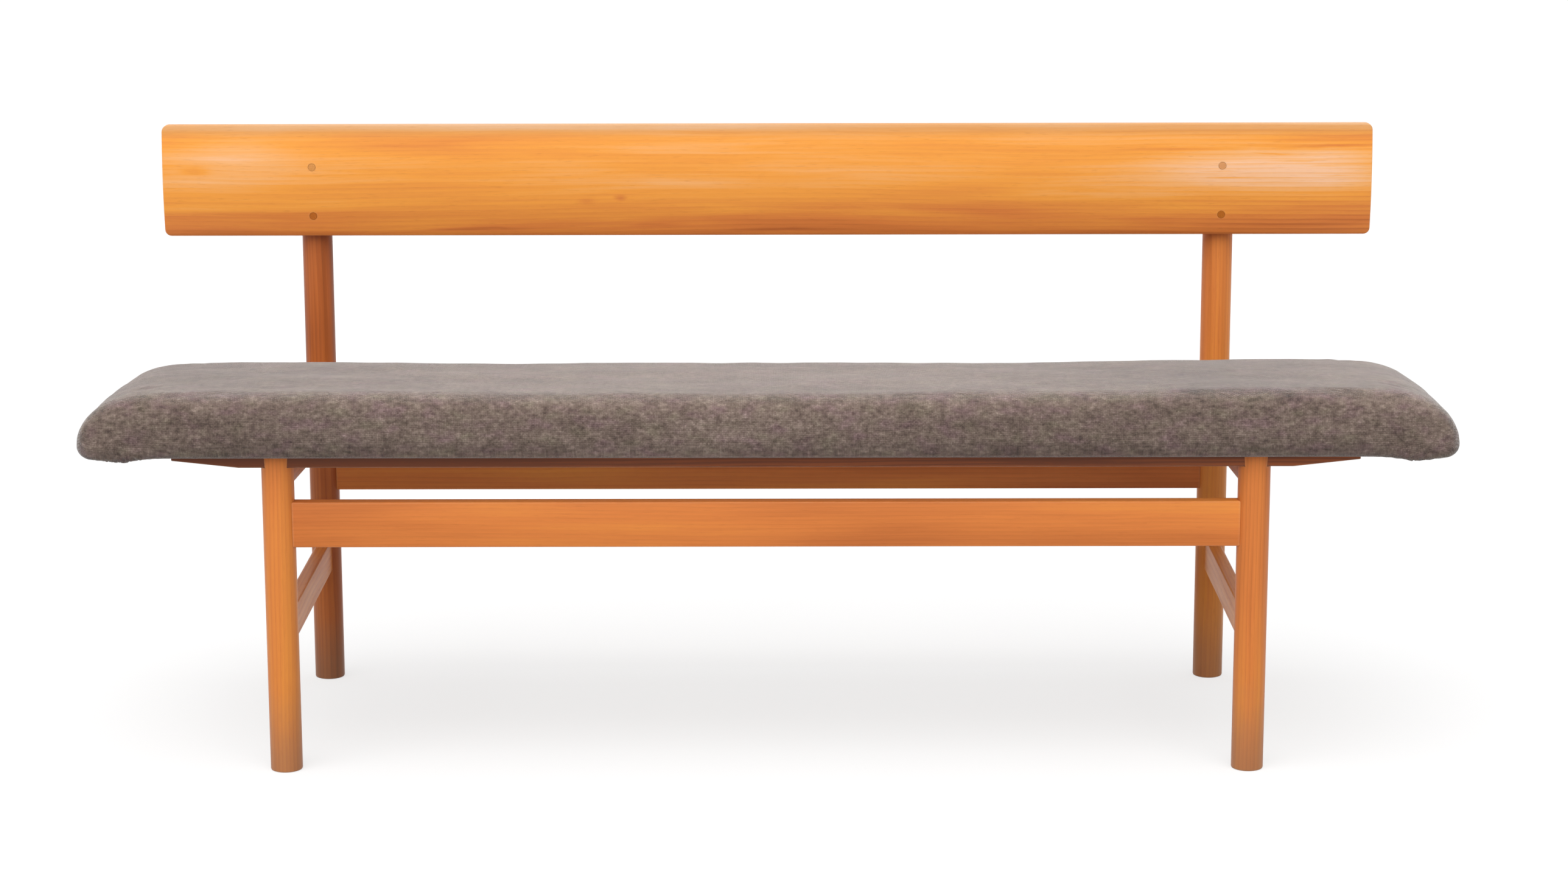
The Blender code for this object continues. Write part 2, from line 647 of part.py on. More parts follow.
def build_bench():
    seat = bpy.data.objects.new("seat_plane", None)
    seat.location = (0, FRONT_LEG_Y, SEAT_BOARD_UNDERSIDE)
    seat.rotation_euler = (-SEAT_TILT, 0, 0)
    PARTS.objects.link(seat)

    front_legs = {}
    rear_legs = {}
    front_coping = {}
    rear_coping = {}
    for side, sign in SIDES:
        x = sign * SIDE_X
        front_legs[side] = make_leg(f"front_leg_{side}", x, FRONT_LEG_Y,
                                    SEAT_BOARD_UNDERSIDE + PAST)
        rear_legs[side] = make_leg(f"rear_leg_{side}", x, REAR_LEG_Y, POST_HEIGHT)
        front_coping[side] = leg_cutter(f"front_coping_{side}", x, FRONT_LEG_Y)
        rear_coping[side] = leg_cutter(f"rear_coping_{side}", x, REAR_LEG_Y)

    make_long_stretcher("front_stretcher", FRONT_LEG_Y, FRONT_STRETCHER_BOTTOM,
                        [(front_legs[side], front_coping[side]) for side, _ in SIDES])
    make_long_stretcher("rear_stretcher", REAR_LEG_Y, REAR_STRETCHER_BOTTOM,
                        [(rear_legs[side], rear_coping[side]) for side, _ in SIDES])
    side_rails = {}
    for side, sign in SIDES:
        pairs = [(front_legs[side], front_coping[side]), (rear_legs[side], rear_coping[side])]
        make_side_stretcher(f"side_stretcher_{side}", sign * SIDE_X, pairs)
        side_rails[side] = make_side_rail(f"side_rail_{side}", sign * SIDE_X, pairs, seat)

    rail_places = {"front": 0.0, "rear": SEAT_RAIL_SPACING}
    seat_rails = {}
    channels = {}
    for place, y in rail_places.items():
        seat_rails[place] = (make_seat_rail(f"{place}_seat_rail", y, seat), y)
        channels[place] = seat_rail_cutter(f"{place}_rail_channel", y, seat)
    top_size = (LEG_SPACING_X + 4 * LEG_DIAMETER, 2 * LEG_DIAMETER, 4 * PAST)
    leg_tops = add_object("leg_tops", box_mesh("leg_tops", top_size),
                          (0, 0, 2 * PAST - LEG_TOP_DROP), parent=seat)
    for side, _ in SIDES:
        add_boolean(front_legs[side], leg_tops)
        add_boolean(front_legs[side], channels["front"])
        add_boolean(side_rails[side], channels["rear"])

    seat_board = make_upholstery(seat, channels.values())

    back_board = make_back_blank("back_board", WOOD)
    plug_blank = make_back_blank("plug_blank")
    housing_size = (BACK_LENGTH, 2 * LEG_DIAMETER, BACK_HEIGHT + FIT + 4 * PAST)
    housing = add_object(
        "back_housing", box_mesh("back_housing", housing_size),
        (0, BACK_REAR_Y - LEG_DIAMETER, BACK_BOTTOM - FIT + housing_size[2] / 2),
    )
    for side, _ in SIDES:
        add_boolean(rear_legs[side], housing)
    make_back_fixings(back_board, plug_blank, rear_legs)
    make_seat_fixings(seat, seat_board, side_rails, seat_rails)


clear_scene()
PARTS = new_collection("bench")
CUTTERS = new_collection("cutters")
WOOD = make_material("oiled_wood", (0.66, 0.33, 0.12), 0.42)
PLUG_WOOD = make_material("plug_wood", (0.48, 0.21, 0.08), 0.45)
PLYWOOD = make_material("plywood", (0.62, 0.47, 0.31), 0.60)
FOAM = make_material("foam", (0.80, 0.72, 0.50), 0.90)
FABRIC = make_material("wool_fabric", (0.26, 0.21, 0.18), 0.90)
STEEL = make_material("zinc_steel", (0.62, 0.61, 0.58), 0.35, 1.0)
build_bench()
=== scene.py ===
"""The looks of a long bench: oiled wood, heathered wool upholstery, plain studio light."""

import math
from functools import partial

import bmesh
import bpy
import numpy as np
from mathutils import Matrix, Vector, noise
from mathutils.bvhtree import BVHTree


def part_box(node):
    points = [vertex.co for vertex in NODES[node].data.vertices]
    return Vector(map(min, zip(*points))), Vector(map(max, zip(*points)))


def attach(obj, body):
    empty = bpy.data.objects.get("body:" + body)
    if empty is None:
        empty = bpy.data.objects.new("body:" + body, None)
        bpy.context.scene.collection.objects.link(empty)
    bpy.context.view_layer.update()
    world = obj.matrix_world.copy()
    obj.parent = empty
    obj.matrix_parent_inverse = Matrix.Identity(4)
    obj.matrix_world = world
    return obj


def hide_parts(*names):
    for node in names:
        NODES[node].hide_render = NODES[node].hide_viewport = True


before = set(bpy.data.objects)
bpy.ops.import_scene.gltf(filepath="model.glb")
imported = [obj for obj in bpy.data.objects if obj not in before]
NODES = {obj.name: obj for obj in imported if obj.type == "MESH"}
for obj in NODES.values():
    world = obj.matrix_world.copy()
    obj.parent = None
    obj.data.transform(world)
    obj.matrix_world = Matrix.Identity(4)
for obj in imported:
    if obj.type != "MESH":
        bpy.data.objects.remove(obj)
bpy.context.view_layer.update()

# The photograph's camera, fitted to the legs, the stretchers and the back board
IMAGE_WIDTH_PX = 2576
FOCAL_LENGTH_PX = 5836.5
SENSOR_WIDTH_MM = 36.0
CAMERA_X = 0.0291
CAMERA_BEFORE_FRONT_LEGS = 4.192
CAMERA_HEIGHT = 1.293
CAMERA_PITCH = 0.2072
CAMERA_YAW = 0.0017
CAMERA_ROLL = 0.0020

# The seat's plane tips down to the rear about the front legs' axes
SEAT_TILT = math.radians(3.5)
SEAT_BOARD_UNDERSIDE = 0.3960
SEAT_BOARD_THICKNESS = 0.018
SEAT_BOARD_INSET = 0.024
SEAT_BOARD_CORNER = 0.015
COVER_HEM_INSET = 0.033
COVER_THICKNESS = 0.0020
FIT = 0.0003
HEM_OPENING_DEPTH = 0.02

# The cushion in the seat's plane, with the front legs' axes at y = 0
SEAT_HALF_LENGTH = 0.8285
CUSHION_ENDS = (-0.8264, 0.8322)
CUSHION_DEPTH = 0.433
CUSHION_FRONT = -0.049
CUSHION_BASE = -(COVER_THICKNESS + FIT)
CUSHION_FRONT_HEIGHT = 0.0792
CUSHION_REAR_HEIGHT = 0.0727
CUSHION_CROWN_HEIGHT = 0.003
END_RIM_HEIGHT = 0.0152
LONG_RIM_HEIGHT = 0.0420
CUSHION_CORNER = 0.024
CUSHION_TUCK = 0.0145
LONG_TUCK = 0.0220
SHAPE_CHANGE = 0.10
END_ROUNDING_FRONT = 0.099
END_ROUNDING_REAR = 0.131
FRONT_ROUNDING = 0.040
REAR_ROUNDING = 0.098
END_FULLNESS_FRONT = 2.2
END_FULLNESS_REAR = 3.45
FRONT_FULLNESS = 3.2
REAR_FULLNESS = 1.8
TUCK_FULLNESS = 2.0

# The rings that the form is built from: over the top they crowd towards the edge
UNDER_RINGS = 8
TOP_RINGS = 44
TOP_RING_CROWDING = 2.6
INNERMOST_RING = 0.002
OUTLINE_SPACING = 0.004
OUTLINE_CORNER_STEPS = 10
SMALLEST_CORNER = 0.002

# Where the padding stands a little higher or lower, as (x, half width, rise)
PADDING_WAVES = (
    (0.62, 0.17, 0.0034),
    (-0.56, 0.10, 0.0012),
    (-0.10, 0.33, -0.0016),
    (0.22, 0.14, -0.0006),
)

# How the padding is made: remeshed a little small, then blown up as cloth
REMESH_VOXEL = 0.006
SWELL_START_INSET = 0.003
SWELL_PRESSURE = 4.0
SWELL_FRAMES = 16
SWELL_CAP = 0.006
SWELL_SMOOTHINGS = 14
PULLS_KEPT = 0.55
STAPLED_HEIGHT = 0.004

# Waves over the whole cushion, as (waves per metre, shift, height)
HAND_WAVES = (
    ((6.0, 11.0, 9.0), (0.0, 0.0, 3.1), 0.0021),
    ((24.0, 30.0, 30.0), (0.0, 7.7, 0.0), 0.0006),
)

# The gathers of the cloth under the end corners
GATHERS_HEIGHT = 0.022
GATHERS_REACH = 0.12
GATHERS_FROM_END = 0.056
GATHERS_HALF_WIDTH = 0.026
GATHERS_FROM_EDGE = 0.03
GATHERS_PITCH = 0.011
GATHERS_DROP = 0.0068

# Points this close are one, faces that meet at less than the flat angle are one, and where
# they meet at more than a sharp angle, the edge is drawn sharp
WELD_DISTANCE = 1e-6
FLAT_ANGLE = math.radians(0.2)
WOOD_SHARP_ANGLE = math.radians(33)
CLOTH_SHARP_ANGLE = math.radians(60)

# The stage: the room's light, the floor's greys, and how much of its own shade the floor shows
ROOM_LIGHT = 0.34
FLOOR_SIZE = 40.0
FLOOR_COLOR = (0.90, 0.90, 0.90, 1.0)
FLOOR_BOUNCE_COLOR = (0.40, 0.40, 0.40, 1)
FLOOR_SHADE_SHARE = 0.30

# The height, square to the seat's plane, from which the weave turns down over the edges
WEAVE_DROP = 0.0028
FRONT_LEG_Y = sum(corner.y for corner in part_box("front_leg_left")) / 2
WEAVE_TOP = (
    SEAT_BOARD_UNDERSIDE * math.cos(SEAT_TILT) + FRONT_LEG_Y * math.sin(SEAT_TILT)
    + CUSHION_BASE + CUSHION_FRONT_HEIGHT - WEAVE_DROP
)
SEAT_PLANE = Matrix.Translation((0, FRONT_LEG_Y, SEAT_BOARD_UNDERSIDE)) @ Matrix.Rotation(
    -SEAT_TILT, 4, "X"
)


# The colour sockets of a Mix node
MIX_A, MIX_B, MIX_RESULT = 6, 7, 2


class Nodes:
    """A node tree with short calls that add nodes and join them."""

    def __init__(self, tree):
        self.tree = tree

    def add(self, kind, inputs=None, **settings):
        node = self.tree.nodes.new(kind)
        for key, value in settings.items():
            setattr(node, key, value)
        for key, value in (inputs or {}).items():
            self.put(node.inputs[key], value)
        return node

    def put(self, socket, value):
        if isinstance(value, bpy.types.NodeSocket):
            self.tree.links.new(value, socket)
        else:
            socket.default_value = value

    def math(self, operation, a, b=0.0, c=0.0, clamp=False):
        node = self.add("ShaderNodeMath", {0: a, 1: b, 2: c}, operation=operation)
        node.use_clamp = clamp
        return node.outputs[0]

    def swing(self, value, share):
        """A value between 0 and 1 turned into one about 0, times a share."""
        return self.math("MULTIPLY", self.math("SUBTRACT", value, 0.5), share)

    def vector(self, operation, a, b=(0, 0, 0)):
        return self.add("ShaderNodeVectorMath", {0: a, 1: b}, operation=operation).outputs[0]

    def length(self, vector):
        node = self.add("ShaderNodeVectorMath", {0: vector}, operation="LENGTH")
        return node.outputs["Value"]

    def split(self, vector):
        return self.add("ShaderNodeSeparateXYZ", {"Vector": vector}).outputs

    def join(self, x, y, z):
        return self.add("ShaderNodeCombineXYZ", {"X": x, "Y": y, "Z": z}).outputs[0]

    def turn(self, vector, angle):
        """A vector turned about the X axis, along the bench."""
        return self.add("ShaderNodeVectorRotate", {"Vector": vector, "Angle": angle},
                        rotation_type="X_AXIS").outputs[0]

    def place(self):
        """A point's place in the own coordinates of its piece."""
        return self.add("ShaderNodeTexCoord").outputs["Object"]

    def noise(self, vector, scale, detail=2.0, roughness=0.5, distortion=0.0, kind="Fac"):
        node = self.add("ShaderNodeTexNoise", {
            "Vector": vector, "Scale": scale, "Detail": detail, "Roughness": roughness,
            "Distortion": distortion,
        })
        return node.outputs[kind]

    def range(self, value, low, high, to_low=0.0, to_high=1.0, smooth=False):
        node = self.add("ShaderNodeMapRange", {
            "Value": value, "From Min": low, "From Max": high, "To Min": to_low,
            "To Max": to_high,
        })
        node.interpolation_type = "SMOOTHSTEP" if smooth else "LINEAR"
        return node.outputs[0]

    def ramp(self, value, stops):
        """A colour ramp through (position, colour) stops."""
        node = self.add("ShaderNodeValToRGB", {"Fac": value})
        elements = node.color_ramp.elements
        while len(elements) < len(stops):
            elements.new(0.5)
        for element, (position, color) in zip(elements, stops):
            element.position = position
            element.color = (*color, 1.0)
        return node.outputs["Color"]

    def mix(self, factor, a, b, blend="MIX"):
        node = self.add("ShaderNodeMix", data_type="RGBA", blend_type=blend)
        node.clamp_result = False
        self.put(node.inputs["Factor"], factor)
        for socket, color in ((MIX_A, a), (MIX_B, b)):
            linked = isinstance(color, bpy.types.NodeSocket)
            self.put(node.inputs[socket], color if linked else (*color, 1.0))
        return node.outputs[MIX_RESULT]

    def stretch(self, vector, scale, move=(0, 0, 0)):
        return self.add("ShaderNodeMapping", {
            "Vector": vector, "Scale": scale, "Location": move,
        }).outputs[0]

    def bump(self, height, distance, strength=1.0, normal=None):
        node = self.add("ShaderNodeBump", {
            "Height": height, "Distance": distance, "Strength": strength,
        })
        if normal is not None:
            self.put(node.inputs["Normal"], normal)
        return node.outputs[0]


def new_material(name, roughness=0.5, specular=0.5, metallic=0.0):
    material = bpy.data.materials.new(name)
    material.use_nodes = True
    shader = material.node_tree.nodes["Principled BSDF"]
    shader.inputs["Roughness"].default_value = roughness
    shader.inputs["Specular IOR Level"].default_value = specular
    shader.inputs["Metallic"].default_value = metallic
    return material, Nodes(material.node_tree), shader


# Wood tones in linear colour, from the palest to the darkest, and where each lies on the scale
WOOD_TONES = (
    (0.00, (0.94, 0.55, 0.330)),
    (0.16, (0.93, 0.45, 0.160)),
    (0.34, (0.92, 0.360, 0.056)),
    (0.58, (0.73, 0.220, 0.047)),
    (0.80, (0.46, 0.116, 0.026)),
    (1.00, (0.17, 0.044, 0.014)),
)
GRIME_COLOR = (0.25, 0.19, 0.122)
PORE_COLOR = (0.40, 0.10, 0.02)
PORE_SHARE = 0.17
WORN_COLOR = (0.74, 0.40, 0.19)
WORN_SHARE = 0.30
WORN_EDGE_RADIUS = 0.0030
RINGS_PER_METRE = 210.0
FINE_FIBRES = 0.10
GRAIN_AXES = {"X": (0, 1, 2), "Y": (1, 0, 2), "Z": (2, 0, 1)}


def spot(nodes, place, centre, radii):
    """1 in the middle of a soft ellipsoid, and 0 from its surface outwards."""
    away = nodes.vector("SUBTRACT", place, centre)
    away = nodes.length(nodes.vector("DIVIDE", away, radii))
    return nodes.range(away, 0.0, 1.0, 1.0, 0.0, smooth=True)


def wood(name, grain="X", move=(0, 0, 0), pith=(0.09, 0.12), tone=0.4, turn=0.0, rings=0.14,
         clouds=0.56, streaks=0.34, weathering_and_shading=None):
    """Oiled wood whose fibres run along one axis.

    move shifts the pattern, so that no two boards are alike, and pith is where the
    tree's centre lies across the grain. tone is the middle of the board's shade on
    WOOD_TONES. The last argument gives the shade to add, on the back board partly painted
    shade and a painted highlight, the share of rings and that of grime.
    """
    material, nodes, shader = new_material(name, specular=0.28)
    place = nodes.place()
    if turn:
        place = nodes.turn(place, turn)
    parts = nodes.split(place)
    fibre = nodes.join(*(parts[i] for i in GRAIN_AXES[grain]))
    fibre = nodes.vector("ADD", fibre, move)

    # Growth rings round the pith, bent slowly along the board
    bend = nodes.noise(nodes.stretch(fibre, (1.3, 3.5, 3.5)), 1.0, 3, 0.5, kind="Color")
    bend = nodes.vector("SUBTRACT", bend, (0.5, 0.5, 0.5))
    bend = nodes.vector("MULTIPLY", bend, (0.0, 0.026, 0.026))
    fibre = nodes.vector("ADD", fibre, bend)
    bent = nodes.vector("ADD", nodes.vector("SUBTRACT", fibre, move), (0, pith[0], pith[1]))
    distance = nodes.length(nodes.vector("MULTIPLY", bent, (0.0, 1.0, 1.0)))
    ring = nodes.math("FRACT", nodes.math("MULTIPLY", distance, RINGS_PER_METRE))
    late = nodes.math("POWER", ring, 2.4)
    late = nodes.math("MULTIPLY", late, nodes.range(ring, 0.88, 1.0, 1.0, 0.0, smooth=True))

    # Broad tone, soft streaks, fibres and pores, each finer than the last
    broad = nodes.noise(nodes.stretch(fibre, (1.5, 8.0, 8.0)), 1.0, 2, 0.5)
    streak = nodes.noise(nodes.stretch(fibre, (2.6, 62.0, 62.0)), 1.0, 4, 0.55, 0.25)
    fine = nodes.noise(nodes.stretch(fibre, (9.0, 420.0, 420.0)), 1.0, 3, 0.6)
    pores = nodes.noise(nodes.stretch(fibre, (60.0, 1300.0, 1300.0)), 1.0, 1, 0.4)
    pores = nodes.range(pores, 0.62, 0.74)

    shade, ring_share, grime = tone, rings, None
    if weathering_and_shading is not None:
        added, ring_share, grime = weathering_and_shading(nodes, place, rings)
        shade = nodes.math("ADD", added, tone)
    for layer, share in ((broad, clouds), (streak, streaks), (fine, FINE_FIBRES)):
        shade = nodes.math("ADD", nodes.swing(layer, share), shade)
    shade = nodes.math("ADD", shade, nodes.math("MULTIPLY", late, ring_share), clamp=True)
    color = nodes.ramp(shade, WOOD_TONES)
    color = nodes.mix(nodes.math("MULTIPLY", pores, PORE_SHARE), color, PORE_COLOR)

    # Worn, paler edges, rubbed unevenly
    rounded = nodes.add("ShaderNodeBevel", {"Radius": WORN_EDGE_RADIUS}, samples=4).outputs[0]
    true = nodes.add("ShaderNodeNewGeometry").outputs["Normal"]
    apart = nodes.add("ShaderNodeVectorMath", {0: rounded, 1: true}, operation="DISTANCE")
    rubbed = nodes.range(nodes.noise(place, 38.0, 3, 0.6), 0.35, 0.65, 0.35, 1.0)
    worn = nodes.math("MULTIPLY", nodes.range(apart.outputs["Value"], 0.08, 0.45), rubbed)
    color = nodes.mix(nodes.math("MULTIPLY", worn, WORN_SHARE), color, WORN_COLOR)
    if grime is not None:
        color = nodes.mix(grime, color, GRIME_COLOR)
    nodes.put(shader.inputs["Base Color"], color)

    # Pores are rougher and lie lower, and worn edges are smoother
    rough = nodes.math("ADD", nodes.math("MULTIPLY", streak, 0.18), 0.34)
    rough = nodes.math("ADD", rough, nodes.math("MULTIPLY", pores, 0.1))
    rough = nodes.math("SUBTRACT", rough, nodes.math("MULTIPLY", worn, 0.08))
    nodes.put(shader.inputs["Roughness"], rough)
    relief = nodes.math("MULTIPLY_ADD", pores, -0.5, nodes.math("MULTIPLY", fine, 0.6))
    normal = nodes.bump(relief, 0.00010, 0.7)
    wobble = nodes.noise(nodes.stretch(fibre, (5.0, 22.0, 22.0)), 1.0, 2)
    nodes.put(shader.inputs["Normal"], nodes.bump(wobble, 0.0005, 0.5, normal))
    return material


# Soft marks on the back board's face, as (x, z, half width, half height, shade to add)
BOARD_MARKS = (
    (-0.742, 0.6885, 0.030, 0.009, 0.12),
    (-0.690, 0.7000, 0.130, 0.050, -0.17),
    (-0.192, 0.6530, 0.012, 0.006, 0.20),
    (-0.235, 0.6490, 0.018, 0.007, 0.12),
    (0.640, 0.6920, 0.210, 0.046, -0.25),
    (0.740, 0.6860, 0.120, 0.046, -0.16),
    (0.560, 0.7160, 0.160, 0.005, 0.14),
    (0.720, 0.7185, 0.120, 0.004, 0.20),
    (0.690, 0.7000, 0.060, 0.0022, 0.16),
    (0.720, 0.6925, 0.050, 0.0020, 0.14),
    (0.600, 0.6780, 0.045, 0.0018, 0.16),
    (0.655, 0.7090, 0.040, 0.0018, 0.16),
    (0.590, 0.6860, 0.050, 0.0016, 0.14),
    (0.735, 0.6800, 0.035, 0.0016, 0.14),
    (-0.380, 0.6125, 0.090, 0.004, 0.12),
    (-0.150, 0.6180, 0.060, 0.003, 0.10),
    (0.020, 0.6100, 0.110, 0.004, 0.12),
)

# Where each change on the back board begins and ends: by height its darker lower part, which is
# painted shade, its pale top edge, which is a painted highlight, and the grime along it, and by x
# its stronger rings at the right
BOARD_PAINTED_SHADE_PART = (0.602, 0.680)
BOARD_PAINTED_HIGHLIGHT_EDGE = (0.738, 0.745)
BOARD_GRIME = (0.726, 0.746)
BOARD_RIGHT_PART = (0.40, 0.70)


def board_weathering_and_shading(nodes, place, rings):
    """The back board: darker below as painted shade, paler along its top edge as a painted
    highlight, paler at its ends, and marked.
    """
    x, _, z = nodes.split(place)
    drift = nodes.noise(nodes.stretch(place, (2.2, 1.0, 9.0)), 1.0, 2)
    level = nodes.math("ADD", z, nodes.swing(drift, 0.030))
    # Painted shade: the board turns darker and redder towards its bottom
    shade = nodes.range(level, *BOARD_PAINTED_SHADE_PART, 0.29, 0.0, smooth=True)
    wander = nodes.vector("SUBTRACT", nodes.noise(place, 18.0, 2, kind="Color"), (0.5, 0.5, 0.5))
    flat = nodes.vector("ADD", place, nodes.vector("MULTIPLY", wander, (0.012, 0.0, 0.007)))
    flat = nodes.vector("MULTIPLY", flat, (1.0, 0.0, 1.0))
    for mark_x, mark_z, half_width, half_height, amount in BOARD_MARKS:
        mark = spot(nodes, flat, (mark_x, 0.0, mark_z), (half_width, 1.0, half_height))
        shade = nodes.math("ADD", shade, nodes.math("MULTIPLY", mark, amount))
    # Painted highlight: the top edge is paler
    painted_highlight = nodes.range(z, *BOARD_PAINTED_HIGHLIGHT_EDGE, 0.0, -0.14, smooth=True)
    ring_share = nodes.range(x, *BOARD_RIGHT_PART, rings, rings + 0.10, smooth=True)
    grime = nodes.range(z, *BOARD_GRIME, 0.0, 0.42, smooth=True)
    return nodes.math("ADD", shade, painted_highlight), ring_share, grime


# The heights between which a leg's grime, its foot's dark edge and its browner low part
# fade out, and a rear leg turns darker
LEG_GRIME = (0.0, 0.13)
LEG_FOOT = (0.001, 0.006)
LEG_LOW_PART = (0.0, 0.09)
LEG_POST = (0.36, 0.48)


def leg_weathering(nodes, place, rings, post_shade):
    """Legs are browner and greyer low down, and darkest where they meet the floor.

    post_shade is how much darker a rear leg is above the seat.
    """
    z = nodes.split(place)["Z"]
    cloud = nodes.noise(place, 26.0, 3, 0.6)
    level = nodes.math("ADD", z, nodes.swing(cloud, 0.05))
    grime = nodes.range(level, *LEG_GRIME, 0.42, 0.0, smooth=True)
    foot = nodes.range(z, *LEG_FOOT, 0.55, 0.0, smooth=True)
    shade = nodes.range(z, *LEG_LOW_PART, 0.08, 0.0, smooth=True)
    post = nodes.range(z, *LEG_POST, 0.0, post_shade, smooth=True)
    return nodes.math("ADD", shade, post), rings, nodes.math("MAXIMUM", grime, foot)


def end_grain(name, dark, pale):
    """A wooden plug: darker than the board round it, with its pores seen end on."""
    material, nodes, shader = new_material(name, roughness=0.5, specular=0.2)
    spots = nodes.noise(nodes.place(), 900.0, 3, 0.6)
    nodes.put(shader.inputs["Base Color"], nodes.ramp(spots, [(0.25, dark), (0.7, pale)]))
    nodes.put(shader.inputs["Normal"], nodes.bump(spots, 0.0002, 0.6))
    return material


# Pale and dark plies take turns, with a soft border between them
PLY_THICKNESS = 0.0022
PLY_BORDER = (0.0009, 0.0013)


def plywood(name):
    """Bare, sanded plywood, with its plies seen on the edges."""
    material, nodes, shader = new_material(name, roughness=0.68, specular=0.3)
    coordinates = nodes.add("ShaderNodeTexCoord").outputs
    place = nodes.turn(coordinates["Object"], SEAT_TILT)
    figure = nodes.noise(nodes.stretch(place, (2.5, 34.0, 34.0)), 1.0, 4, 0.6, 0.8)
    fine = nodes.noise(nodes.stretch(place, (12.0, 600.0, 600.0)), 1.0, 2)
    face = nodes.ramp(figure, [(0.25, (0.42, 0.27, 0.14)), (0.5, (0.62, 0.45, 0.27)),
                               (0.75, (0.72, 0.56, 0.37))])
    ply = nodes.math("PINGPONG", nodes.split(place)["Z"], PLY_THICKNESS)
    ply = nodes.range(ply, *PLY_BORDER)
    upright = nodes.split(coordinates["Normal"])["Z"]
    on_edge = nodes.range(nodes.math("ABSOLUTE", upright), 0.5, 0.8, 1.0, 0.0)
    color = nodes.mix(nodes.math("MULTIPLY", nodes.math("MULTIPLY", ply, on_edge), 0.55), face,
                      (0.26, 0.15, 0.07))
    nodes.put(shader.inputs["Base Color"], color)
    nodes.put(shader.inputs["Normal"], nodes.bump(fine, 0.0002, 0.6))
    return material


def zinc_steel(name):
    """Zinc-plated steel, dull in places."""
    material, nodes, shader = new_material(name, metallic=1.0)
    cloud = nodes.noise(nodes.place(), 240.0, 3, 0.6)
    nodes.put(shader.inputs["Base Color"],
              nodes.ramp(cloud, [(0.3, (0.40, 0.38, 0.33)), (0.7, (0.66, 0.65, 0.62))]))
    nodes.put(shader.inputs["Roughness"], nodes.range(cloud, 0.2, 0.8, 0.28, 0.48))
    return material


# Yarn tones in linear colour, from the darkest to the lightest
YARN_TONES = (
    (0.00, (0.050, 0.036, 0.032)),
    (0.30, (0.128, 0.091, 0.075)),
    (0.52, (0.196, 0.144, 0.119)),
    (0.74, (0.288, 0.220, 0.184)),
    (1.00, (0.450, 0.362, 0.310)),
)
YARN_PITCH = 0.0021
NAP_SHARE = 0.38

# How far the cloth faces an end of the bench, or upwards, to take that side's look
END_FACING = 0.70
TOP_FACING = (0.45, 0.85)

# Stretches of the seat where the cloth is a little darker, as (x, half width, shade)
SEAT_SHADES = (
    (0.52, 0.34, -0.13),
    (-0.62, 0.34, -0.08),
)

# A spot that is this wide across the bench changes only along it
WHOLE_DEPTH = 10.0


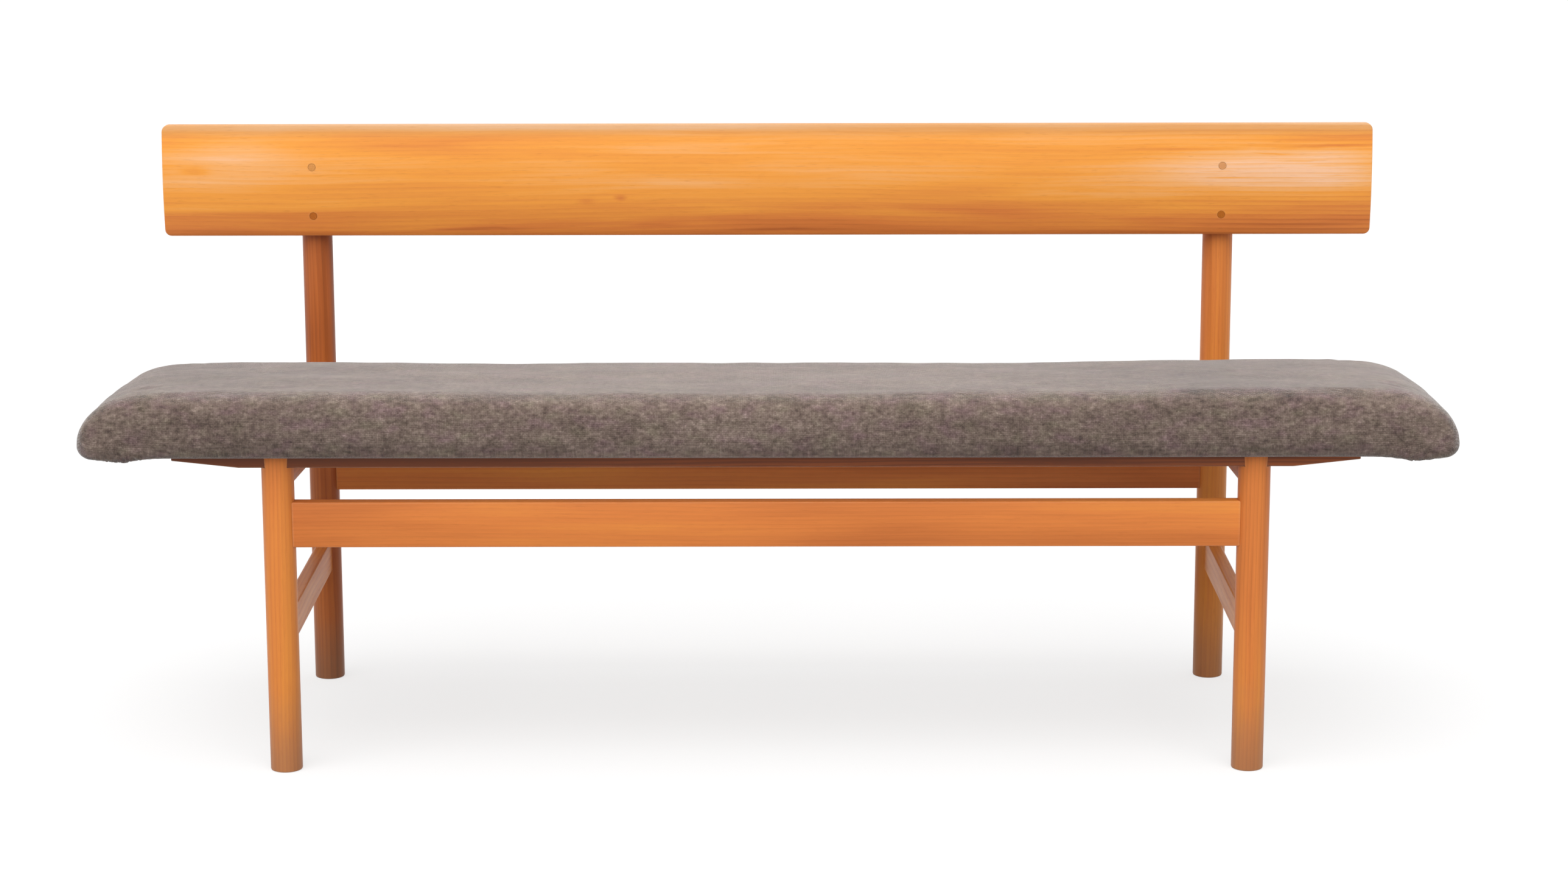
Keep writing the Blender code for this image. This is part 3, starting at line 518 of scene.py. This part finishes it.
def heather_wool(name):
    """A plain weave of thick yarns in mixed warm greys, with short flecks and a soft sheen."""
    material, nodes, shader = new_material(name, roughness=0.95, specular=0.12)
    shader.inputs["Sheen Weight"].default_value = 0.76
    shader.inputs["Sheen Roughness"].default_value = 0.37
    shader.inputs["Sheen Tint"].default_value = (0.95, 0.94, 0.94, 1.0)
    coordinates = nodes.add("ShaderNodeTexCoord").outputs
    place = nodes.turn(coordinates["Object"], SEAT_TILT)
    shake = nodes.noise(place, 70.0, 3, 0.6, kind="Color")
    shake = nodes.vector("SUBTRACT", shake, (0.5, 0.5, 0.5))
    shaken = nodes.vector("ADD", place, nodes.vector("MULTIPLY", shake, (0.0030, 0.0024, 0.0024)))

    # The cloth's own directions: along the bench, and over its edges or round its ends
    x, y, z = nodes.split(shaken)
    facing = nodes.split(coordinates["Normal"])
    on_end = nodes.math("GREATER_THAN", nodes.math("ABSOLUTE", facing["X"]), END_FACING)
    ahead = nodes.math("LESS_THAN", y, FRONT_LEG_Y + CUSHION_FRONT + CUSHION_DEPTH / 2)
    side = nodes.math("SUBTRACT", nodes.math("MULTIPLY", ahead, 2.0), 1.0)
    below_top = nodes.math("MINIMUM", nodes.math("SUBTRACT", z, WEAVE_TOP), 0.0)
    over = nodes.math("ADD", y, nodes.math("MULTIPLY", below_top, side))
    round_end = nodes.math("SUBTRACT", z, nodes.math("ABSOLUTE", x))

    def choose(off_end, at_end):
        apart = nodes.math("SUBTRACT", at_end, off_end)
        return nodes.math("MULTIPLY_ADD", apart, on_end, off_end)

    u = nodes.math("DIVIDE", choose(x, y), YARN_PITCH)
    v = nodes.math("DIVIDE", choose(over, round_end), YARN_PITCH)
    column, row = nodes.math("FLOOR", u), nodes.math("FLOOR", v)
    in_column, in_row = nodes.math("FRACT", u), nodes.math("FRACT", v)
    weft_over = nodes.math("PINGPONG", nodes.math("ADD", column, row), 1.0)

    def yarn(along, number, shift):
        """A yarn's tone, which changes along it and from each yarn to the next."""
        along = nodes.math("MULTIPLY", along, 0.34)
        number = nodes.math("MULTIPLY", number, 7.31)
        return nodes.noise(nodes.join(along, number, shift), 1.0, 2, 0.6)

    def crown(across, along):
        """A yarn's rounded height where it passes over another."""
        wide = nodes.math("SINE", nodes.math("MULTIPLY", across, math.pi))
        long = nodes.math("SINE", nodes.math("MULTIPLY", along, math.pi))
        return nodes.math("MULTIPLY", wide, nodes.math("MULTIPLY_ADD", long, 0.5, 0.5))

    weft, warp = yarn(u, row, 0.0), yarn(v, column, 31.7)
    fleck = nodes.math("MULTIPLY_ADD", nodes.math("SUBTRACT", weft, warp), weft_over, warp)
    weft_height, warp_height = crown(in_row, in_column), crown(in_column, in_row)
    height = nodes.math("MULTIPLY_ADD", nodes.math("SUBTRACT", weft_height, warp_height),
                        weft_over, warp_height)

    hairs = nodes.noise(place, 1400.0, 2, 0.6)
    clump = nodes.noise(nodes.stretch(place, (135.0, 205.0, 205.0)), 1.0, 3, 0.6)
    mottle = nodes.noise(nodes.stretch(place, (38.0, 60.0, 60.0)), 1.0, 3, 0.6)
    patch = nodes.noise(nodes.stretch(place, (5.0, 11.0, 11.0)), 1.0, 2, 0.5)
    tone = 0.50
    layers = ((fleck, 0.60), (clump, 1.02), (mottle, 0.52), (patch, 0.42), (hairs, 0.15))
    for layer, share in layers:
        tone = nodes.math("ADD", nodes.swing(layer, share), tone)
    for middle, half_width, shade in SEAT_SHADES:
        within = spot(nodes, place, (middle, 0.0, 0.0), (half_width, WHOLE_DEPTH, WHOLE_DEPTH))
        tone = nodes.math("MULTIPLY_ADD", within, shade, tone)

    # The nap lies this way and that where the seat has been sat on
    nap = nodes.noise(nodes.stretch(place, (22.0, 20.0, 20.0), (3.0, 1.0, 6.0)), 1.0, 3, 0.7)
    up = nodes.range(facing["Z"], *TOP_FACING, smooth=True)
    tone = nodes.math("MULTIPLY_ADD", nodes.swing(nap, NAP_SHARE), up, tone)

    # Between the yarns the cloth is darker, as painted shade in the gaps of the weave, and here
    # and there it has a tinge of plum or moss
    groove_shade = nodes.range(height, 0.0, 0.45, -0.16, 0.03)
    tone = nodes.math("ADD", tone, groove_shade, clamp=True)
    color = nodes.ramp(tone, YARN_TONES)
    hue = nodes.noise(nodes.stretch(place, (34.0, 60.0, 60.0), (4.0, 7.0, 2.0)), 1.0, 2)
    plum = nodes.range(hue, 0.52, 0.70, 0.0, 0.8)
    moss = nodes.range(hue, 0.46, 0.30, 0.0, 0.8)
    color = nodes.mix(plum, color, (1.02, 0.90, 1.08), "MULTIPLY")
    color = nodes.mix(moss, color, (0.95, 1.03, 0.93), "MULTIPLY")
    nodes.put(shader.inputs["Base Color"], color)

    relief = nodes.math("MULTIPLY_ADD", hairs, 0.35, height)
    relief = nodes.math("MULTIPLY_ADD", fleck, 0.6, relief)
    relief = nodes.math("MULTIPLY_ADD", clump, 2.6, relief)
    nodes.put(shader.inputs["Normal"], nodes.bump(relief, 0.0006, 0.7))
    return material


def seen_rays(nodes):
    """1 for rays from the camera, also by way of gloss or glass, and 0 for all others."""
    path = nodes.add("ShaderNodeLightPath").outputs
    seen = nodes.math("MAXIMUM", path["Is Camera Ray"], path["Is Glossy Ray"])
    return nodes.math("MAXIMUM", seen, path["Is Transmission Ray"])


def stage_floor(name):
    """White to the camera and in reflections, but still holding the bench's soft shadow."""
    material, nodes, shader = new_material(name, roughness=1.0, specular=0.0)
    shader.inputs["Base Color"].default_value = FLOOR_COLOR
    seen = seen_rays(nodes)
    white = nodes.add("ShaderNodeEmission", {"Color": (1, 1, 1, 1), "Strength": 1.0}).outputs[0]
    dim = nodes.add("ShaderNodeBsdfDiffuse", {"Color": FLOOR_BOUNCE_COLOR}).outputs[0]
    pale = nodes.add("ShaderNodeMixShader",
                     {0: FLOOR_SHADE_SHARE, 1: white, 2: shader.outputs[0]}).outputs[0]
    both = nodes.add("ShaderNodeMixShader", {0: seen, 1: dim, 2: pale}).outputs[0]
    output = material.node_tree.nodes["Material Output"]
    nodes.put(output.inputs["Surface"], both)
    return material


def add_object(name, data, material=None):
    piece = bpy.data.objects.new(name, data)
    bpy.context.scene.collection.objects.link(piece)
    if material is not None:
        data.materials.clear()
        data.materials.append(material)
    return piece


def refined(node, name, material):
    """A smooth-shaded piece in the exact place and shape of a CAD node."""
    mesh = NODES[node].data.copy()
    mesh.name = name
    bm = bmesh.new()
    bm.from_mesh(mesh)
    bmesh.ops.remove_doubles(bm, verts=bm.verts, dist=WELD_DISTANCE)
    bmesh.ops.dissolve_limit(bm, angle_limit=FLAT_ANGLE, verts=bm.verts, edges=bm.edges)
    bm.to_mesh(mesh)
    bm.free()
    if "custom_normal" in mesh.attributes:
        mesh.attributes.remove(mesh.attributes["custom_normal"])
    mesh.shade_smooth()
    mesh.set_sharp_from_angle(angle=WOOD_SHARP_ANGLE)
    piece = add_object(name, mesh, material)
    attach(piece, "root")
    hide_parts(node)
    return piece


def eased(distance, rounding, fullness):
    """How far the padding has risen at these distances in from an edge, from 0 to 1."""
    share = np.clip(distance / rounding, 0.0, 1.0)
    return (1 - (1 - share) ** fullness) ** (1 / fullness)


def outline(inset):
    """The cushion's outline from above, drawn in by inset, always as many points."""
    left, right = CUSHION_ENDS[0] + inset, CUSHION_ENDS[1] - inset
    front, rear = CUSHION_FRONT + inset, CUSHION_FRONT + CUSHION_DEPTH - inset
    radius = max(CUSHION_CORNER - inset, SMALLEST_CORNER)
    corners = [Vector(corner) for corner in (
        (right - radius, rear - radius), (left + radius, rear - radius),
        (left + radius, front + radius), (right - radius, front + radius),
    )]
    lengths = (CUSHION_ENDS[1] - CUSHION_ENDS[0], CUSHION_DEPTH)
    counts = [int(length / OUTLINE_SPACING) for length in lengths] * 2
    points = []
    for quarter, corner in enumerate(corners):
        for step in range(OUTLINE_CORNER_STEPS + 1):
            angle = (quarter + step / OUTLINE_CORNER_STEPS) * math.pi / 2
            points.append(corner + radius * Vector((math.cos(angle), math.sin(angle))))
        start = points[-1]
        end = corners[(quarter + 1) % 4] + (start - corner)
        for step in range(1, counts[quarter]):
            points.append(start.lerp(end, step / counts[quarter]))
    return np.array([tuple(point) for point in points])


def away_from_ends(x):
    """0 at the cushion's ends, and 1 along the rest of it."""
    from_end = np.minimum(x - CUSHION_ENDS[0], CUSHION_ENDS[1] - x)
    share = np.clip(from_end / SHAPE_CHANGE, 0.0, 1.0)
    return share * share * (3 - 2 * share)


def rim_height(x):
    """How high the cushion's widest line lies: lower at the ends than along the sides."""
    return END_RIM_HEIGHT + (LONG_RIM_HEIGHT - END_RIM_HEIGHT) * away_from_ends(x)


def padding_top(x, y, inset):
    """The height of the cushion's upper surface at points in the seat's plane."""
    from_end = np.minimum(x - CUSHION_ENDS[0], CUSHION_ENDS[1] - x) - inset
    from_front = y - CUSHION_FRONT - inset
    from_rear = CUSHION_FRONT + CUSHION_DEPTH - inset - y
    share = np.clip(from_front / (CUSHION_DEPTH - 2 * inset), 0, 1)
    height = CUSHION_FRONT_HEIGHT + (CUSHION_REAR_HEIGHT - CUSHION_FRONT_HEIGHT) * share
    height = height + CUSHION_CROWN_HEIGHT * np.sin(math.pi * share) - inset
    for middle, half_width, rise in PADDING_WAVES:
        height = height + rise * np.exp(-(((x - middle) / half_width) ** 2))
    end_rounding = END_ROUNDING_FRONT + (END_ROUNDING_REAR - END_ROUNDING_FRONT) * share
    end_fullness = END_FULLNESS_FRONT + (END_FULLNESS_REAR - END_FULLNESS_FRONT) * share
    rise = eased(from_end, end_rounding, end_fullness)
    rise = rise * eased(from_front, FRONT_ROUNDING, FRONT_FULLNESS)
    rise = rise * eased(from_rear, REAR_ROUNDING, REAR_FULLNESS)
    rim = rim_height(x)
    return CUSHION_BASE + rim + (height - rim) * rise


def cushion_form(inset):
    """The closed form of the cushion, drawn in by inset, built as rings from its outline."""
    limit = CUSHION_DEPTH / 2 - inset
    reach = [limit * (i / TOP_RINGS) ** TOP_RING_CROWDING for i in range(TOP_RINGS)]
    reach.append(limit - INNERMOST_RING)
    bm = bmesh.new()
    rings = []
    for i in range(UNDER_RINGS, 0, -1):
        inward = CUSHION_TUCK * (1 - math.cos(math.pi / 2 * i / UNDER_RINGS))
        flat = outline(inset + inward)
        further = inward / CUSHION_TUCK * (LONG_TUCK - CUSHION_TUCK) * away_from_ends(flat[:, 0])
        flat[:, 1] += further * np.sign(CUSHION_FRONT + CUSHION_DEPTH / 2 - flat[:, 1])
        drop = eased(np.array(inward), CUSHION_TUCK, TUCK_FULLNESS)
        heights = CUSHION_BASE + inset + (rim_height(flat[:, 0]) - inset) * (1 - float(drop))
        rings.append([bm.verts.new((x, y, z)) for (x, y), z in zip(flat, heights)])
    for inward in reach:
        flat = outline(inset + inward)
        heights = padding_top(flat[:, 0], flat[:, 1], inset)
        rings.append([bm.verts.new((x, y, z)) for (x, y), z in zip(flat, heights)])
    for ring, following in zip(rings, rings[1:]):
        count = len(ring)
        for i in range(count):
            j = (i + 1) % count
            bm.faces.new((ring[i], ring[j], following[j], following[i]))
    bm.faces.new(reversed(rings[0]))
    bm.faces.new(rings[-1])
    bmesh.ops.triangulate(bm, faces=[f for f in bm.faces if len(f.verts) > 4])
    bmesh.ops.recalc_face_normals(bm, faces=bm.faces)
    mesh = bpy.data.meshes.new("cushion_form")
    bm.to_mesh(mesh)
    bm.free()
    return mesh


def evaluated_mesh(piece):
    graph = bpy.context.evaluated_depsgraph_get()
    graph.update()
    return bpy.data.meshes.new_from_object(piece.evaluated_get(graph))


def positions(mesh):
    points = np.zeros(len(mesh.vertices) * 3, np.float32)
    mesh.vertices.foreach_get("co", points)
    return points.reshape(-1, 3).astype(float)


def remeshed(mesh):
    """The same form as an even mesh of small squares."""
    piece = add_object("padding", mesh)
    modifier = piece.modifiers.new("Remesh", "REMESH")
    modifier.mode = "VOXEL"
    modifier.voxel_size = REMESH_VOXEL
    even = evaluated_mesh(piece)
    bpy.data.objects.remove(piece)
    return even


def smoothed(values, mesh, rounds):
    """Values at the mesh's points, averaged with their neighbours' a number of times."""
    ends = np.zeros(len(mesh.edges) * 2, np.int32)
    mesh.edges.foreach_get("vertices", ends)
    first, second = ends.reshape(-1, 2).T
    count = np.bincount(ends, minlength=len(values)).reshape(-1, 1) + 1.0
    for _ in range(rounds):
        total = values.copy()
        for axis in range(values.shape[1]):
            total[:, axis] += np.bincount(first, values[second, axis], len(values))
            total[:, axis] += np.bincount(second, values[first, axis], len(values))
        values = total / count
    return values


def swell(mesh, full_form):
    """The padding in its full form, with the pulls and dips of cloth blown up from within.

    The mesh starts a little smaller than the full form, is stapled down underneath and swells
    under pressure. The broad shape is that of the full form, and the unevenness that the
    cloth shows against its own smoothed movement goes on top.
    """
    piece = add_object("padding", mesh)
    start = positions(mesh)
    held = piece.vertex_groups.new(name="stapled")
    under = np.nonzero(start[:, 2] < CUSHION_BASE + SWELL_START_INSET + STAPLED_HEIGHT)[0]
    held.add([int(i) for i in under], 1.0, "REPLACE")
    cloth = piece.modifiers.new("Cloth", "CLOTH")
    settings = cloth.settings
    settings.quality = 4
    settings.mass = 0.35
    settings.tension_stiffness = 30
    settings.compression_stiffness = 30
    settings.shear_stiffness = 12
    settings.bending_stiffness = 1.0
    settings.use_pressure = True
    settings.uniform_pressure_force = SWELL_PRESSURE
    settings.vertex_group_mass = "stapled"
    settings.effector_weights.gravity = 0
    cloth.collision_settings.use_collision = False
    cloth.point_cache.frame_start = 1
    cloth.point_cache.frame_end = SWELL_FRAMES
    scene = bpy.context.scene
    for step in range(1, SWELL_FRAMES + 1):
        scene.frame_set(step)
    swollen = evaluated_mesh(piece)
    bpy.data.objects.remove(piece)
    scene.frame_set(1)
    moved = positions(swollen) - start
    far = np.linalg.norm(moved, axis=1, keepdims=True)
    moved *= np.minimum(1.0, SWELL_CAP / np.maximum(far, 1e-9))
    pulls = (moved - smoothed(moved, swollen, SWELL_SMOOTHINGS)) * PULLS_KEPT
    surface = BVHTree.FromPolygons([v.co for v in full_form.vertices],
                                   [p.vertices for p in full_form.polygons])
    filled = np.array([surface.find_nearest(Vector(point))[0] for point in start])
    swollen.vertices.foreach_set("co", (filled + pulls).astype(np.float32).ravel())
    swollen.update()
    return swollen


def subdivided(mesh):
    piece = add_object("padding", mesh)
    piece.modifiers.new("Subdivision", "SUBSURF").levels = 1
    finer = evaluated_mesh(piece)
    bpy.data.objects.remove(piece)
    return finer


def shape_by_hand(mesh):
    """The unevenness of upholstery pulled by hand, and the gathers under the end corners."""
    normals = np.zeros(len(mesh.vertices) * 3, np.float32)
    mesh.vertices.foreach_get("normal", normals)
    normals = normals.reshape(-1, 3)
    points = positions(mesh)
    moved = points.copy()
    top = CUSHION_BASE + CUSHION_FRONT_HEIGHT
    for i, (x, y, z) in enumerate(points):
        height = (z - CUSHION_BASE) / (top - CUSHION_BASE)
        free = min(max(height * 3, 0.0), 1.0)
        wave = 0.0
        for (per_x, per_y, per_z), (move_x, move_y, move_z), rise in HAND_WAVES:
            at = Vector((x * per_x + move_x, y * per_y + move_y, z * per_z + move_z))
            wave += noise.noise(at) * rise
        moved[i] += normals[i] * wave * free
        from_end = min(x - CUSHION_ENDS[0], CUSHION_ENDS[1] - x)
        if z < CUSHION_BASE + GATHERS_HEIGHT and from_end < GATHERS_REACH:
            near = math.exp(-(((from_end - GATHERS_FROM_END) / GATHERS_HALF_WIDTH) ** 2))
            from_edge = min(y - CUSHION_FRONT, CUSHION_FRONT + CUSHION_DEPTH - y)
            edge = math.exp(-((from_edge / GATHERS_FROM_EDGE) ** 2))
            phase = (from_end - from_edge) * 2 * math.pi / GATHERS_PITCH
            pleat = 0.65 + 0.35 * math.cos(phase)
            moved[i][2] -= GATHERS_DROP * near * edge * pleat
    mesh.vertices.foreach_set("co", moved.astype(np.float32).ravel())
    mesh.update()


def slab(name, inset, low, high):
    """A block with the seat board's round corners, drawn in from the seat's outline."""
    centre_y = CUSHION_DEPTH / 2 + CUSHION_FRONT
    size = (2 * SEAT_HALF_LENGTH - 2 * inset, CUSHION_DEPTH - 2 * inset, high - low)
    matrix = Matrix.Translation((0, centre_y, (low + high) / 2)) @ Matrix.Diagonal((*size, 1))
    bm = bmesh.new()
    bmesh.ops.create_cube(bm, size=1.0, matrix=matrix)
    upright = [e for e in bm.edges if abs(e.verts[0].co.z - e.verts[1].co.z) > 1e-4]
    bmesh.ops.bevel(bm, geom=upright, offset=SEAT_BOARD_CORNER, segments=5, affect="EDGES",
                    profile=0.5)
    mesh = bpy.data.meshes.new(name)
    bm.to_mesh(mesh)
    bm.free()
    return mesh


def make_cushion(material):
    """The cover and its padding, closed round the space of the seat board."""
    mesh = remeshed(cushion_form(SWELL_START_INSET))
    mesh = swell(mesh, cushion_form(0.0))
    mesh = subdivided(mesh)
    shape_by_hand(mesh)
    piece = add_object("seat_cushion", mesh, material)

    # The seat board's own space, and the opening under it inside the cover's hem
    cutters = [add_object(name, slab(name, *measures)) for name, measures in (
        ("board_hollow", (SEAT_BOARD_INSET - FIT, -FIT, SEAT_BOARD_THICKNESS + FIT)),
        ("hem_opening", (COVER_HEM_INSET, -HEM_OPENING_DEPTH, SEAT_BOARD_THICKNESS / 2)),
    )]
    for cutter in cutters:
        cut = piece.modifiers.new("Cut", "BOOLEAN")
        cut.operation = "DIFFERENCE"
        cut.object = cutter
        cut.solver = "EXACT"
    cut_mesh = evaluated_mesh(piece)
    piece.modifiers.clear()
    piece.data = cut_mesh
    for cutter in cutters:
        bpy.data.objects.remove(cutter)
    cut_mesh.transform(SEAT_PLANE)
    cut_mesh.shade_smooth()
    cut_mesh.set_sharp_from_angle(angle=CLOTH_SHARP_ANGLE)
    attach(piece, "root")
    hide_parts("seat_cover", "seat_foam")


def leg(post_shade=0.0, **settings):
    """The settings that all legs share, and those of one leg."""
    weathering_and_shading = partial(leg_weathering, post_shade=post_shade)
    return dict(grain="Z", rings=0.09, weathering_and_shading=weathering_and_shading, **settings)


WOODEN_PIECES = {
    "back_board": dict(
        move=(0.3, 0.10, 0.33), tone=0.33, pith=(-0.32, -0.50), rings=0.07, clouds=0.62,
        streaks=0.56, weathering_and_shading=board_weathering_and_shading,
    ),
    "front_stretcher": dict(move=(2.1, 0.52, 0.11), tone=0.57, streaks=0.22, rings=0.05),
    "rear_stretcher": dict(move=(4.7, 0.91, 0.43), tone=0.60, rings=0.08),
    # The seat rails' darkest tones are painted shade from the cushion that overhangs them
    "front_seat_rail": dict(move=(6.2, 0.07, 0.71), tone=1.00),
    "rear_seat_rail": dict(move=(7.9, 0.27, 0.15), tone=0.88),
    "side_stretcher_left": dict(grain="Y", move=(9.3, 0.61, 0.55), tone=0.48),
    "side_stretcher_right": dict(grain="Y", move=(11.1, 0.35, 0.95), tone=0.42),
    "side_rail_left": dict(grain="Y", move=(12.6, 0.83, 0.22), tone=0.72, turn=SEAT_TILT),
    "side_rail_right": dict(grain="Y", move=(14.4, 0.18, 0.68), tone=0.72, turn=SEAT_TILT),
    "front_leg_left": leg(move=(15.8, 0.44, 0.37), tone=0.56),
    "front_leg_right": leg(move=(17.5, 0.73, 0.81), tone=0.53),
    "rear_leg_left": leg(move=(19.2, 0.12, 0.59), tone=0.69, post_shade=0.17),
    "rear_leg_right": leg(move=(21.7, 0.57, 0.26), tone=0.53, post_shade=0.10),
}


def dress_wood():
    """Every wooden piece, smooth-shaded, with grain along its own length."""
    for node, settings in WOODEN_PIECES.items():
        name = node + "_wood"
        refined(node, name, wood(name, **settings))


# The darkest and the palest tone of each plug's end grain, in linear colour; the lower plugs are
# darker partly as painted shade, like the board's lower part
PLUG_TONES = {
    "back_plug_upper_left": ((0.56, 0.225, 0.052), (0.78, 0.340, 0.095)),
    "back_plug_lower_left": ((0.40, 0.105, 0.012), (0.60, 0.170, 0.022)),
    "back_plug_upper_right": ((0.56, 0.245, 0.090), (0.76, 0.350, 0.140)),
    "back_plug_lower_right": ((0.38, 0.105, 0.009), (0.58, 0.170, 0.018)),
}


def dress_fixings():
    """The plugs in the back board and all the screws."""
    zinc = zinc_steel("zinc_plated_steel")
    for node in sorted(NODES):
        if node in PLUG_TONES:
            name = node + "_wood"
            refined(node, name, end_grain(name, *PLUG_TONES[node]))
        elif "_screw" in node:
            refined(node, node + "_steel", zinc)


def dress_seat_board():
    """The seat board stays the CAD node itself, in plywood."""
    NODES["seat_board"].material_slots[0].material = plywood("seat_plywood")


def make_stage():
    mesh = bpy.data.meshes.new("floor")
    bm = bmesh.new()
    bmesh.ops.create_grid(bm, x_segments=1, y_segments=1, size=FLOOR_SIZE)
    bm.to_mesh(mesh)
    bm.free()
    floor = add_object("floor", mesh, stage_floor("pale_floor"))


def make_world():
    """A plain soft room light, and a white background to the camera and in reflections."""
    world = bpy.data.worlds.new("studio")
    bpy.context.scene.world = world
    world.use_nodes = True
    nodes = Nodes(world.node_tree)
    strength = nodes.range(seen_rays(nodes), 0.0, 1.0, ROOM_LIGHT, 1.0)
    background = world.node_tree.nodes["Background"]
    background.inputs["Color"].default_value = (1, 1, 1, 1)
    nodes.put(background.inputs["Strength"], strength)


def make_lights():
    """Two soft lamps: a wide one high in front, a little to the left, and one overhead."""
    lamps = {
        "front": dict(towards=(0.13, 0.58, -0.81), strength=2.85, angle=76),
        "overhead": dict(towards=(0.0, 0.0, -1.0), strength=1.0, angle=80),
    }
    for name, settings in lamps.items():
        data = bpy.data.lights.new(name, "SUN")
        data.energy = settings["strength"]
        data.angle = math.radians(settings["angle"])
        lamp = add_object(name, data)
        lamp.rotation_mode = "QUATERNION"
        lamp.rotation_quaternion = Vector(settings["towards"]).to_track_quat("-Z", "Y")


def make_camera():
    data = bpy.data.cameras.new("camera")
    data.sensor_fit = "HORIZONTAL"
    data.sensor_width = SENSOR_WIDTH_MM
    data.lens = SENSOR_WIDTH_MM * FOCAL_LENGTH_PX / IMAGE_WIDTH_PX
    data.clip_end = 200.0
    camera = add_object("camera", data)
    place = (CAMERA_X, FRONT_LEG_Y - CAMERA_BEFORE_FRONT_LEGS, CAMERA_HEIGHT)
    camera.matrix_world = (
        Matrix.Translation(place)
        @ Matrix.Rotation(CAMERA_YAW, 4, "Z")
        @ Matrix.Rotation(math.pi / 2 - CAMERA_PITCH, 4, "X")
        @ Matrix.Rotation(-CAMERA_ROLL, 4, "Z")
    )
    bpy.context.scene.camera = camera


make_stage()
make_world()
make_lights()
make_camera()
dress_wood()
dress_fixings()
dress_seat_board()
make_cushion(heather_wool("heather_wool"))
bpy.context.scene.view_settings.view_transform = "Standard"
